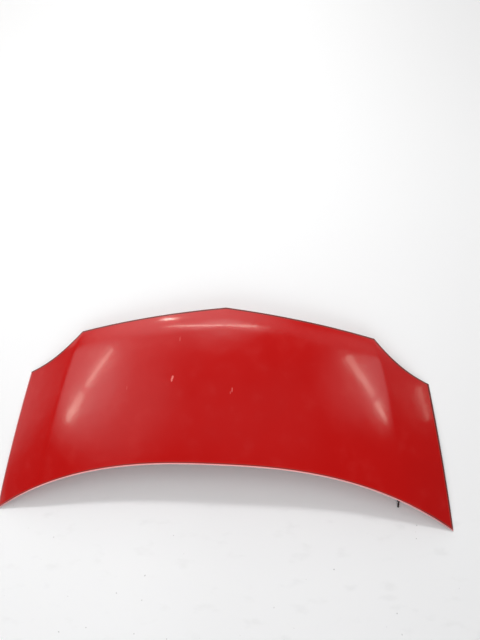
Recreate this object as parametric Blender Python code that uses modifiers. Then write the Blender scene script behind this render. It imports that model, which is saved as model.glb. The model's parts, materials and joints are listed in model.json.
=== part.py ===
"""Car bonnet: a hemmed outer skin over a pressed inner frame, with its hinge and latch fixings.

The panel lies the right way up on four corners. X runs across it, Y towards its front edge and Z up.
Places on the panel are given as (x, run), where run is the distance forward of the rear corners.
"""
import math

import bmesh
import bpy
from mathutils import Matrix, Vector
from mathutils.geometry import delaunay_2d_cdt

# Outline, in metres
REAR_WIDTH = 1.440
LENGTH = 0.670
REAR_BOW = 0.173
REAR_BOW_POWER = 2.56
LAMP_OUTER_X = 0.668
LAMP_OUTER_RUN = 0.444
LAMP_INNER_SHARE = 0.490 / 0.668
LAMP_INNER_RUN = 0.583
LAMP_HOLLOW = 0.017
FRONT_BOW = 0.007
MIDDLE_RUN = 0.3342

# Form of the outer surface
CROWN_RISE = 0.125
CROWN_SQUARENESS = 0.35
ARCH_RADIUS = 2.6
ARCH_TOP_RUN = 0.27
NOSE_BAND = 0.075
NOSE_DROP = 0.012
CREASE_REAR_SHARE = 0.575 / 0.720
CREASE_SLOPE = 0.20
CREASE_FADE = 0.35
CREASE_SOFTNESS = 0.008
SHOULDER_WIDTH = 0.165

# Sheets, hem and the clearance between pieces that touch
SKIN_THICKNESS = 0.0008
INNER_THICKNESS = 0.0007
CLEARANCE = 0.0003
HEM_LEG = 0.012
FLANGE_BEYOND_HEM = 0.003
FOLD_SEGMENTS = 2
WELD = 0.00002

# Ribs and openings of the inner panel
RIB_DEPTH = 0.022
RIB_HEIGHT_SHARE = 0.45
WALL_RUN = 0.012
OPENING_FLANGE = 0.010
OPENING_RADIUS = 0.024
SLOT_ROUNDING = 0.28
MASTIC_GAP = 0.0030
CENTRE_RIB = 0.094
DIAGONAL_RIB = 0.072
CREASE_RIB = 0.036
REAR_CHANNEL = 0.084
FRONT_CHANNEL = 0.100
SIDE_CHANNEL = 0.062
SLOT_INSIDE = 0.245
SLOT_FROM_HINGE = 0.012
SLOT_FROM_LAMP = 0.060
DIAGONAL_START_X = 0.090
DIAGONAL_FROM_LATCH = 0.014
FLOOR_SPACING = 0.048
FLOOR_CLEAR = 0.45

# Hinge and latch fixings
PLATE_MARGIN = 0.004
PLATE_CORNER = 0.008
HINGE_FROM_SIDE = 0.0887
HINGE_FROM_REAR = 0.1093
HINGE_PAD = (0.060, 0.090)
HINGE_HOLE_PITCH = 0.050
HINGE_HOLE = 0.0088
HINGE_PLATE_THICKNESS = 0.0015
HINGE_NUT_ACROSS = 0.014
HINGE_NUT_HEIGHT = 0.0070
LATCH_BACK = 0.100
LATCH_PAD = (0.110, 0.054)
LATCH_PLATE_THICKNESS = 0.0012
STRIKER_PLATE = (0.092, 0.040)
STRIKER_CORNER = 0.012
STRIKER_THICKNESS = 0.0025
STRIKER_BOLT_PITCH = 0.070
STRIKER_ROD = 0.008
STRIKER_REACH = 0.036
STRIKER_SPAN = 0.034
BOLT = 0.006
BOLT_HEAD_ACROSS = 0.010
BOLT_HEAD_HEIGHT = 0.0045
BOLT_FLANGE = 0.0132
BOLT_FLANGE_HEIGHT = 0.0014
BOLT_CHAMFER = 0.0006
BOLT_PAST_NUT = 0.0015
BOLT_HOLE_ROOM = 0.0006
LATCH_NUT_ACROSS = 0.011
LATCH_NUT_HEIGHT = 0.0055

# Rubber and plastic pieces
BUFFER_FROM_LAMP = 0.045
BUFFER_BACK = 0.058
BUFFER_DIAMETER = 0.022
BUFFER_HEIGHT = 0.016
BUFFER_NECK = 0.009
BUFFER_BARB = 0.0016
BUFFER_BARB_TOP = 0.0030
BUFFER_TIP = 0.0075
BUFFER_SHAPE = [(1.0, 0.0), (1.0, 0.19), (0.78, 0.31), (0.72, 0.88), (0.58, 1.0)]
PLUG_SHARE = 0.40
PLUG_FROM_REAR = 0.045
PLUG_HOLE = 0.018
PLUG_FLANGE = 0.0035
PLUG_HEAD = 0.0016
STAY_FROM_HINGE = 0.157
STAY_FROM_REAR = 0.046
STAY_HOLE = 0.014
STAY_BORE = 0.009
STAY_HEAD = 0.0035
SEAT_MARGIN = 0.005
COLLAR_FLANGE = 0.003
COLLAR_LIP = 0.0015
COLLAR_LIP_TOP = 0.0015
COLLAR_TOP = 0.0031
COLLAR_TAPER = 0.0006
COLLAR_CHAMFER = 0.0012
SEAL_BACK = 0.050
SEAL_SHARE = 0.400 / 0.490
SEAL_WIDTH = 0.014
SEAL_BASE = 0.002
SEAL_BULB = 0.009
SEAL_BULB_DEPTH = 0.0081
SEAL_BULB_OUT = 0.6
SEAL_STATIONS = 13
SEAL_LAND_MARGIN = 0.001
CLIP_SHARES = (0.245, 0.694)
CLIP_HOLE = 0.006
CLIP_HEAD = 0.0105
CLIP_HEAD_HEIGHT = 0.0016
CLIP_BARB = 0.0010
CLIP_BARB_TOP = 0.0022
CLIP_TIP = 0.0060
MASTIC_PAD = (0.020, 0.007)
MASTIC_CHAMFER = 0.002

# Washer hose, right side
HOSE_DIAMETER = 0.0065
GROMMET_FROM_HINGE = 0.066
GROMMET_FROM_REAR = 0.048
GROMMET_HOLE = 0.013
GROMMET_HEAD = 0.003
HOSE_POINT_SPACING = 0.013
CONNECTOR_LENGTH = 0.024
CONNECTOR_DIAMETER = 0.0094
CONNECTOR_BORE = 0.0024
# Shares of its radius and of its length, from the barbed tip to the hose end
CONNECTOR_SHAPE = [
    (0.55, 1.0), (0.72, 0.80), (0.55, 0.78), (0.72, 0.56), (0.55, 0.54), (0.55, 0.34),
    (1.0, 0.32), (1.0, 0.0),
]
# Points along the hose down to the floor: x and run from the grommet, and share of its height
HOSE_ROUTE = [
    (0.0003, 0.0, 1.026), (-0.0011, 0.0, 0.924), (-0.0024, -0.0003, 0.825),
    (-0.0023, -0.0018, 0.681), (-0.0004, -0.0051, 0.522), (0.0032, -0.0100, 0.367),
    (0.0078, -0.0165, 0.219), (0.0120, -0.0246, 0.099), (0.0144, -0.0340, 0.017),
    (0.0143, -0.0442, 0.0), (0.0131, -0.0512, 0.0),
]

HALF_WIDTH = REAR_WIDTH / 2
LAMP_INNER_X = LAMP_INNER_SHARE * LAMP_OUTER_X
CREASE_REAR_X = CREASE_REAR_SHARE * HALF_WIDTH
HEM_HEIGHT = 2 * SKIN_THICKNESS + INNER_THICKNESS + 2 * CLEARANCE
FLANGE_END = HEM_LEG + FLANGE_BEYOND_HEM
CHANNEL_START = FLANGE_END + WALL_RUN
OPENING_SURROUND = OPENING_FLANGE + WALL_RUN

# Numbers of columns and rows of the pressed surfaces on one half
INNER_COLUMNS = 10
OUTER_COLUMNS = 5
COLUMNS = INNER_COLUMNS + OUTER_COLUMNS
ROWS = 12
COLUMN_CROWDING = 1.25
ROW_CROWDING = 1.3


# Plan of the outline


def rear_run(x):
    """Run of the rear edge at x."""
    return REAR_BOW * (1 - abs(x / HALF_WIDTH) ** REAR_BOW_POWER)


def front_run(x):
    """Run of the front edge at x, carried on past the lamp cut-outs."""
    share = abs(x) / LAMP_INNER_X
    bow = 4 * FRONT_BOW * share * max(0.0, 1 - share)
    return LENGTH + (LAMP_INNER_RUN - LENGTH) * share + bow


def lamp_point(share):
    """Point of the hollow lamp edge, from its inner end at 0 to its outer end at 1."""
    inner = Vector((LAMP_INNER_X, LAMP_INNER_RUN))
    outer = Vector((LAMP_OUTER_X, LAMP_OUTER_RUN))
    inward = Vector((outer.y - inner.y, inner.x - outer.x)).normalized()
    return inner.lerp(outer, share) + inward * (4 * LAMP_HOLLOW * share * (1 - share))


def column_ends(column):
    """Rear and front plan points of a column line; the crease is column INNER_COLUMNS."""
    if column <= INNER_COLUMNS:
        share = 1 - (1 - column / INNER_COLUMNS) ** COLUMN_CROWDING
        x = CREASE_REAR_X * share
        front_x = LAMP_INNER_X * share
        return Vector((x, rear_run(x))), Vector((front_x, front_run(front_x)))
    share = (column - INNER_COLUMNS) / OUTER_COLUMNS
    x = CREASE_REAR_X + (HALF_WIDTH - CREASE_REAR_X) * share
    return Vector((x, rear_run(x))), lamp_point(share)


def edge_lean(column, end):
    """Cosine of the angle between the rear (0) or front (1) edge and the X axis."""
    step = 0.25
    before = column_ends(column - step)[end]
    after = column_ends(column + step)[end]
    return (after.x - before.x) / (after - before).length


def station(column, row, inset):
    """Plan point of a grid station when the outline is moved in by inset."""
    if column > INNER_COLUMNS:
        rear, lamp = column_ends(COLUMNS)
        side_slant = math.sin((lamp - rear).angle(column_ends(COLUMNS - 1)[0] - rear))
        width = HALF_WIDTH - CREASE_REAR_X
        shrink = inset / (side_slant * width) * edge_lean(COLUMNS, 0)
        column = INNER_COLUMNS + (column - INNER_COLUMNS) * (1 - shrink)
    rear, front = column_ends(column)
    length = (front - rear).length
    rear_share = inset / (edge_lean(column, 0) * length)
    front_share = inset / (edge_lean(column, 1) * length)
    share = 1 - (1 - row / ROWS) ** ROW_CROWDING
    return rear.lerp(front, rear_share + (1 - rear_share - front_share) * share)


def rim_stations():
    """Grid stations round the outline, from the rear centre round to the front centre."""
    rear = [(column, 0) for column in range(COLUMNS)]
    side = [(COLUMNS, row) for row in range(ROWS)]
    front = [(column, ROWS) for column in range(COLUMNS, -1, -1)]
    return rear + side + front


# Height of the outer surface


def soft_ramp(value, softness):
    """Zero below 0 and value above it, with a rounded corner."""
    return (value + math.hypot(value, softness)) / 2


def crease_x(run):
    """Place of the crease across the panel, and how far along it the run lies."""
    start = rear_run(CREASE_REAR_X)
    share = (run - start) / (LAMP_INNER_RUN - start)
    return CREASE_REAR_X + (LAMP_INNER_X - CREASE_REAR_X) * share, min(max(share, 0.0), 1.0)


def pressed_form(x, run):
    """Height of the pressed surface before the panel is laid on its corners."""
    reach = abs(x) / HALF_WIDTH
    crown = CROWN_RISE * ((1 - CROWN_SQUARENESS) * reach**2 + CROWN_SQUARENESS * reach**4)
    arch = (run - ARCH_TOP_RUN) ** 2 / (2 * ARCH_RADIUS)
    nose = max(0.0, 1 - (front_run(x) - run) / NOSE_BAND)
    line, along = crease_x(run)
    beyond = min(soft_ramp(abs(x) - line, CREASE_SOFTNESS), SHOULDER_WIDTH)
    slope = CREASE_SLOPE * (CREASE_FADE + (1 - CREASE_FADE) * along)
    shoulder = slope * beyond * (1 - beyond / (2 * SHOULDER_WIDTH))
    return -crown - arch - NOSE_DROP * nose**2 - shoulder


def normal_of(height, x, run):
    """Upward normal of a height function."""
    step = 0.001
    across = (height(x + step, run) - height(x - step, run)) / (2 * step)
    along = (height(x, run + step) - height(x, run - step)) / (2 * step)
    return Vector((-across, -along, 1)).normalized()


def hem_foot(x, run):
    """Underside of the hem in the pressed form, at a corner that the panel rests on."""
    return pressed_form(x, run) - HEM_HEIGHT * normal_of(pressed_form, x, run).z


REST_TILT = (hem_foot(HALF_WIDTH, 0) - hem_foot(LAMP_OUTER_X, LAMP_OUTER_RUN)) / LAMP_OUTER_RUN
REST_LIFT = -hem_foot(HALF_WIDTH, 0)


def skin_height(x, run):
    """Height of the outer surface over the floor, resting on the rear and the lamp corners."""
    return pressed_form(x, run) + REST_TILT * run + REST_LIFT


def opening_height(x, run):
    """Upper face of the inner panel round its openings, under the mastic."""
    return skin_height(x, run) - SKIN_THICKNESS - MASTIC_GAP


def rib_height(x, run):
    """Upper face of the inner panel along its ribs and channels."""
    over_floor = skin_height(x, run)
    return over_floor - min(RIB_DEPTH, RIB_HEIGHT_SHARE * over_floor)


def place(plan, height):
    """World point over a plan point (x, run)."""
    return Vector((plan[0], plan[1] - MIDDLE_RUN, height))


def surface_frame(plan, height):
    """Frame on a surface: local Z is its normal and local X runs across the panel."""
    x, run = plan
    normal = normal_of(height, x, run)
    forward = normal.cross(Vector((1, 0, 0))).normalized()
    across = forward.cross(normal)
    turn = Matrix((across, forward, normal)).transposed().to_4x4()
    return Matrix.Translation(place(plan, height(x, run))) @ turn


class EdgeSection:
    """Frame across the panel's edge at one rim station, for the hem and the flange that it grips."""

    def __init__(self, column, row):
        edge = station(column, row, 0.0)
        flange = station(column, row, FLANGE_END)
        self.normal = normal_of(skin_height, *edge)
        self.edge = place(edge, skin_height(*edge))
        self.flange = place(flange, skin_height(*flange))
        self.flange_normal = normal_of(skin_height, *flange)
        self.inward = (self.flange - self.edge) / FLANGE_END

    def point(self, inset, drop):
        return self.edge + self.inward * inset - self.normal * drop

    def flange_point(self, drop):
        return self.flange - self.flange_normal * drop


# Helpers


def clear_scene():
    for item in list(bpy.data.objects):
        bpy.data.objects.remove(item, do_unlink=True)


def new_collection(name):
    group = bpy.data.collections.new(name)
    bpy.context.scene.collection.children.link(group)
    return group


def new_material(name, colour, roughness, metallic=0.0):
    material = bpy.data.materials.new(name)
    material.use_nodes = True
    shader = material.node_tree.nodes["Principled BSDF"]
    shader.inputs["Base Color"].default_value = (*colour, 1.0)
    shader.inputs["Roughness"].default_value = roughness
    shader.inputs["Metallic"].default_value = metallic
    return material


def add_object(name, mesh, group, material=None, frame=None, smooth_below=35):
    item = bpy.data.objects.new(name, mesh)
    group.objects.link(item)
    if material is not None:
        mesh.materials.append(material)
        mesh.shade_smooth()
        mesh.set_sharp_from_angle(angle=math.radians(smooth_below))
    if frame is not None:
        item.matrix_world = frame
    return item


def mesh_from(bm, name):
    mesh = bpy.data.meshes.new(name)
    bm.to_mesh(mesh)
    bm.free()
    return mesh


def loft(bm, ring, other, closed):
    """Join two rings with equal counts of vertices by a band of faces."""
    count = len(ring)
    for k in range(count if closed else count - 1):
        after = (k + 1) % count
        bm.faces.new((ring[k], ring[after], other[after], other[k]))


def finish_sheet(bm):
    """Split an open sheet's faces the same way as its neighbour's, and turn them to look up."""
    for vert in bm.verts:
        if abs(vert.co.x) < WELD:
            vert.co.x = 0.0
    bmesh.ops.triangulate(bm, faces=bm.faces, quad_method="SHORT_EDGE")
    bmesh.ops.recalc_face_normals(bm, faces=bm.faces)
    if sum(face.normal.z * face.calc_area() for face in bm.faces) < 0:
        bmesh.ops.reverse_faces(bm, faces=bm.faces)


def sheet_modifiers(item, thickness):
    """Mirror a half sheet and give it its thickness, below its upper face."""
    mirror = item.modifiers.new("both_halves", "MIRROR")
    mirror.merge_threshold = WELD
    wall = item.modifiers.new("wall", "SOLIDIFY")
    wall.thickness = thickness
    wall.offset = -1
    wall.use_even_offset = True
    wall.use_quality_normals = True


def circle(centre, radius, count):
    """Points round a circle, the first one a half step off the X axis."""
    middle = Vector(centre)
    angles = [2 * math.pi * (k + 0.5) / count for k in range(count)]
    return [middle + Vector((math.cos(a), math.sin(a))) * radius for a in angles]


def hole_circle(centre, diameter, count=8):
    """Outline of a hole, whose flats clear a round piece of that diameter."""
    return circle(centre, diameter / 2 / math.cos(math.pi / count), count)


def rounded(corners, radius, grow=0.0, arc_steps=3, side_steps=4):
    """Rounded polygon, anticlockwise; grow moves it outwards about the same corner centres."""
    arcs = []
    count = len(corners)
    for k, corner in enumerate(corners):
        to_before = (corners[k - 1] - corner).normalized()
        to_after = (corners[(k + 1) % count] - corner).normalized()
        half = to_before.angle(to_after) / 2
        centre = corner + (to_before + to_after).normalized() * (radius / math.sin(half))
        start = math.atan2(-to_before.x, to_before.y)
        sweep = math.pi - 2 * half
        arcs.append([
            centre + Vector((math.cos(a), math.sin(a))) * (radius + grow)
            for a in (start - math.pi + sweep * s / arc_steps for s in range(arc_steps + 1))
        ])
    points = []
    for k, arc in enumerate(arcs):
        points += arc
        onward = arcs[(k + 1) % count][0]
        points += [arc[-1].lerp(onward, s / side_steps) for s in range(1, side_steps)]
    return points


def rectangle(size, radius):
    x, y = size[0] / 2, size[1] / 2
    corners = [Vector(corner) for corner in ((-x, -y), (x, -y), (x, y), (-x, y))]
    return rounded(corners, radius, arc_steps=2, side_steps=1)


def rounded_bar(size):
    """Short bar with its corners cut."""
    x, y = size[0] / 2, size[1] / 2
    end = x - MASTIC_CHAMFER
    right = [(x, MASTIC_CHAMFER - y), (x, y - MASTIC_CHAMFER), (end, y)]
    left = [(-across, along) for across, along in reversed(right)]
    return [Vector(point) for point in right + left + [(-end, -y), (end, -y)]]


def inside(x, y, polygon):
    """True where a plan point lies inside a polygon."""
    hit = False
    for a, b in zip(polygon, polygon[1:] + polygon[:1]):
        if (a.y > y) != (b.y > y) and x < a.x + (b.x - a.x) * (y - a.y) / (b.y - a.y):
            hit = not hit
    return hit


def line_cross(point, direction, other, other_direction):
    """Where two plan lines meet."""
    apart = other - point
    share = apart.cross(other_direction) / direction.cross(other_direction)
    return point + direction * share


def plate(name, outlines, thickness, frame, group, material):
    """Flat plate from an outline and its holes, sitting on the frame's XY plane."""
    curve = bpy.data.curves.new(name, "CURVE")
    curve.dimensions = "2D"
    curve.fill_mode = "BOTH"
    curve.extrude = thickness / 2
    for outline in outlines:
        spline = curve.splines.new("POLY")
        spline.points.add(len(outline) - 1)
        for target, point in zip(spline.points, outline):
            target.co = (point.x, point.y, 0, 1)
        spline.use_cyclic_u = True
    lifted = frame @ Matrix.Translation((0, 0, thickness / 2))
    return curve_to_mesh(name, curve, lifted, group, material)


def curve_to_mesh(name, curve, frame, group, material):
    """Mesh object made from a curve, with its caps welded."""
    source = bpy.data.objects.new(name + "_curve", curve)
    group.objects.link(source)
    graph = bpy.context.evaluated_depsgraph_get()
    mesh = bpy.data.meshes.new_from_object(source.evaluated_get(graph))
    bpy.data.objects.remove(source, do_unlink=True)
    bm = bmesh.new()
    bm.from_mesh(mesh)
    bmesh.ops.remove_doubles(bm, verts=bm.verts, dist=WELD)
    bm.to_mesh(mesh)
    bm.free()
    mesh.materials.clear()
    return add_object(name, mesh, group, material, frame)


def turned(name, profile, steps, frame, group, material):
    """Turned piece: a profile of (radius, height) points, down its outer side, about local Z."""
    bm = bmesh.new()
    verts = [bm.verts.new((radius, 0, height)) for radius, height in profile]
    closed = profile[0][0] > 0
    for a, b in zip(verts, verts[1:]):
        bm.edges.new((a, b))
    if closed:
        bm.edges.new((verts[-1], verts[0]))
    item = add_object(name, mesh_from(bm, name), group, material, frame)
    screw = item.modifiers.new("turn", "SCREW")
    screw.steps = steps
    screw.render_steps = steps
    screw.use_merge_vertices = True
    screw.merge_threshold = WELD
    screw.use_normal_calculate = False
    return item


def sides():
    """Both sides: a name, and the sign of x."""
    return (("left", -1), ("right", 1))


def mirrored(frame):
    """Frame of the matching place on the left half, still right-handed."""
    flip = Matrix.Diagonal((-1, 1, 1, 1))
    return flip @ frame @ flip


def side_frame(frame, sign):
    return frame if sign > 0 else mirrored(frame)


# Places of the seats on the inner panel


def side_x(run):
    """Straight side of the panel at a run."""
    return HALF_WIDTH + (LAMP_OUTER_X - HALF_WIDTH) * run / LAMP_OUTER_RUN


def shoulder_x(run, share):
    """Place on the shoulder at a run, from the crease at 0 to the side at 1."""
    crease = crease_x(run)[0]
    return crease + (side_x(run) - crease) * share


def hinge_place():
    """Plan point of the hinge pad's middle, set from the rear corner's two edges."""
    run = HINGE_FROM_REAR + rear_run(side_x(HINGE_FROM_REAR) - HINGE_FROM_SIDE)
    return side_x(run) - HINGE_FROM_SIDE, run


def hinge_frame():
    return surface_frame(hinge_place(), rib_height)


def latch_frame():
    return surface_frame((0.0, LENGTH - LATCH_BACK), rib_height)


def front_seat(x, back):
    return surface_frame((x, front_run(x) - back), rib_height)


def rear_seat(x, forward):
    return surface_frame((x, rear_run(x) + forward), rib_height)


def round_seats():
    """Frames and hole diameters of the round holes on the right half of the ribs."""
    hinge_x = hinge_place()[0]
    seats = {
        "buffer": (front_seat(LAMP_INNER_X - BUFFER_FROM_LAMP, BUFFER_BACK), BUFFER_NECK + 2 * CLEARANCE),
        "plug": (rear_seat(PLUG_SHARE * hinge_x, PLUG_FROM_REAR), PLUG_HOLE),
        "stay": (rear_seat(hinge_x - STAY_FROM_HINGE, STAY_FROM_REAR), STAY_HOLE),
        "grommet": (rear_seat(hinge_x - GROMMET_FROM_HINGE, GROMMET_FROM_REAR), GROMMET_HOLE),
    }
    for k, share in enumerate(CLIP_SHARES):
        seats["clip_%d" % (k + 1)] = (front_seat(LAMP_INNER_X * share, SEAL_BACK), CLIP_HOLE)
    return seats


def seal_stations():
    """Frames along the right half of the front seal, from the middle outwards."""
    spacing = SEAL_SHARE * LAMP_INNER_X / SEAL_STATIONS
    return [front_seat(spacing * k, SEAL_BACK) for k in range(SEAL_STATIONS + 1)]


def seal_land():
    """Outline of the seal's land on the right half, out along its rear side and back."""
    rear = -SEAL_WIDTH / 2 - SEAL_LAND_MARGIN
    front = SEAL_WIDTH / 2 + SEAL_BULB / 2 + SEAL_LAND_MARGIN
    frames = seal_stations()
    out = [frame @ Vector((0, rear, 0)) for frame in frames]
    past = SEAL_SHARE * LAMP_INNER_X / SEAL_STATIONS / 2
    ends = [frames[-1] @ Vector((past, y, 0)) for y in (rear, front)]
    return out + ends + [frame @ Vector((0, front, 0)) for frame in reversed(frames)]


def hinge_holes():
    return [Vector((0, HINGE_HOLE_PITCH / 2)), Vector((0, -HINGE_HOLE_PITCH / 2))]


# Openings of the inner panel


def rear_channel_line():
    """Straight front side of the rear channel: a point on it by the centre rib, and its direction."""
    inner_x, outer_x = CENTRE_RIB / 2, LAMP_INNER_X
    fall = (rear_run(outer_x) - rear_run(inner_x)) / (outer_x - inner_x)
    samples = [inner_x + (outer_x - inner_x) * k / 20 for k in range(21)]
    highest = max(rear_run(x) - fall * (x - inner_x) for x in samples)
    return Vector((inner_x, highest + REAR_CHANNEL)), Vector((1, fall))


def opening_corners():
    """Corners of the three openings on the right half, anticlockwise."""
    latch_rear = LENGTH - LATCH_BACK - LATCH_PAD[1] / 2
    latch_end = Vector((DIAGONAL_START_X, latch_rear - DIAGONAL_FROM_LATCH))
    hinge_x, hinge_run = hinge_place()
    hinge_end = Vector((hinge_x - HINGE_PAD[0], hinge_run))
    diagonal = (hinge_end - latch_end).normalized()
    across = Vector((-diagonal.y, diagonal.x)) * (DIAGONAL_RIB / 2)
    inboard_edge = latch_end - across
    outboard_edge = latch_end + across

    rear_inner, rear_line = rear_channel_line()
    centre = [
        rear_inner,
        line_cross(rear_inner, rear_line, inboard_edge, diagonal),
        line_cross(rear_inner, Vector((0, 1)), inboard_edge, diagonal),
    ]

    front_inner = Vector((0, front_run(0) - FRONT_CHANNEL))
    front_line = Vector((LAMP_INNER_X, LAMP_INNER_RUN - LENGTH))
    crease_front = Vector((LAMP_INNER_X - CREASE_RIB, LAMP_INNER_RUN))
    crease_line = Vector((LAMP_INNER_X - CREASE_REAR_X, LAMP_INNER_RUN - rear_run(CREASE_REAR_X)))
    outer = [
        line_cross(crease_front, crease_line, outboard_edge, diagonal),
        line_cross(crease_front, crease_line, front_inner, front_line),
        line_cross(front_inner, front_line, outboard_edge, diagonal),
    ]

    slot_rear = hinge_run + HINGE_PAD[1] / 2 + OPENING_SURROUND + SLOT_FROM_HINGE
    slot_front = LAMP_OUTER_RUN - SLOT_FROM_LAMP
    slot = [
        Vector((shoulder_x(slot_rear, SLOT_INSIDE), slot_rear)),
        Vector((side_x(slot_rear) - SIDE_CHANNEL, slot_rear)),
        Vector((side_x(slot_front) - SIDE_CHANNEL, slot_front)),
        Vector((shoulder_x(slot_front, SLOT_INSIDE), slot_front)),
    ]
    return {
        "centre": (centre, OPENING_RADIUS),
        "outer": (outer, OPENING_RADIUS),
        "slot": (slot, SLOT_ROUNDING * (slot[1] - slot[0]).length),
    }


# Pressed sheets


def outer_skin(group, material):
    """Pressed skin with its edge folded round under the inner panel."""
    bm = bmesh.new()
    bmesh.ops.create_grid(bm, x_segments=COLUMNS, y_segments=ROWS, size=1)
    grid = {}
    for vert in bm.verts:
        column = round((vert.co.x + 1) / 2 * COLUMNS)
        row = round((vert.co.y + 1) / 2 * ROWS)
        grid[column, row] = vert
        plan = station(column, row, FLANGE_END)
        vert.co = place(plan, skin_height(*plan))

    rim = [grid[key] for key in rim_stations()]
    sections = [EdgeSection(column, row) for column, row in rim_stations()]
    fold_radius = HEM_HEIGHT / 2
    steps = []
    for k in range(FOLD_SEGMENTS + 1):
        angle = math.pi * k / FOLD_SEGMENTS
        steps.append((-fold_radius * math.sin(angle), fold_radius * (1 - math.cos(angle))))
    steps.append((HEM_LEG, HEM_HEIGHT))
    for inset, drop in steps:
        rim = extrude_rim(bm, rim)
        for vert, section in zip(rim, sections):
            vert.co = section.point(inset, drop)
    finish_sheet(bm)
    item = add_object("outer_skin", mesh_from(bm, "outer_skin"), group, material)
    sheet_modifiers(item, SKIN_THICKNESS)
    return item


def extrude_rim(bm, rim):
    """Extrude the open chain of edges along rim and return the new chain."""
    edges = [bm.edges.get((a, b)) for a, b in zip(rim, rim[1:])]
    result = bmesh.ops.extrude_edge_only(bm, edges=edges)
    fresh = {vert for vert in result["geom"] if isinstance(vert, bmesh.types.BMVert)}
    return [next(e.other_vert(v) for e in v.link_edges if e.other_vert(v) in fresh) for v in rim]


def inner_panel(group, material):
    """Pressed frame: flange in the hem, channels, ribs, pads and openings."""
    bm = bmesh.new()
    edge_clear = HEM_HEIGHT / 2 + CLEARANCE
    drop = SKIN_THICKNESS + CLEARANCE
    sections = [EdgeSection(column, row) for column, row in rim_stations()]
    flange_outer = [bm.verts.new(section.point(edge_clear, drop)) for section in sections]
    flange_inner = [bm.verts.new(section.flange_point(drop)) for section in sections]
    channel = []
    for column, row in rim_stations():
        plan = station(column, row, CHANNEL_START)
        channel.append(bm.verts.new(place(plan, rib_height(*plan))))
    loft(bm, flange_outer, flange_inner, closed=False)
    loft(bm, flange_inner, channel, closed=False)

    floor = RibFloor(channel)
    steps = ((0.0, opening_height), (OPENING_FLANGE, opening_height), (OPENING_SURROUND, rib_height))
    for corners, radius in opening_corners().values():
        rings = []
        for grow, height in steps:
            plans = rounded(corners, radius, grow)
            rings.append([bm.verts.new(place(plan, height(*plan))) for plan in plans])
        loft(bm, rings[0], rings[1], closed=True)
        loft(bm, rings[1], rings[2], closed=True)
        floor.add_loop([vert.co.copy() for vert in rings[2]], cut=True)

    floor.add_pad(hinge_frame(), rectangle(HINGE_PAD, PLATE_CORNER))
    for centre in hinge_holes():
        floor.add_pad(hinge_frame(), hole_circle(centre, HINGE_HOLE), cut=True)
    for name, (frame, diameter) in round_seats().items():
        if not name.startswith("clip"):
            floor.add_pad(frame, circle((0, 0), diameter / 2 + SEAT_MARGIN, 10))
        floor.add_pad(frame, hole_circle((0, 0), diameter), cut=True)
    latch_x, latch_y = LATCH_PAD[0] / 2, LATCH_PAD[1] / 2
    latch_corners = [(0, -latch_y), (latch_x, -latch_y), (latch_x, latch_y), (0, latch_y)]
    floor.add_centre_pad([latch_frame() @ Vector((x, y, 0)) for x, y in latch_corners])
    floor.add_centre_pad(seal_land())
    bolt_hole = hole_circle((STRIKER_BOLT_PITCH / 2, 0), BOLT + 2 * BOLT_HOLE_ROOM)
    floor.add_pad(latch_frame(), bolt_hole, cut=True)
    floor.build(bm)

    bmesh.ops.remove_doubles(bm, verts=bm.verts, dist=WELD)
    finish_sheet(bm)
    item = add_object("inner_panel", mesh_from(bm, "inner_panel"), group, material)
    sheet_modifiers(item, INNER_THICKNESS)
    return item


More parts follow.
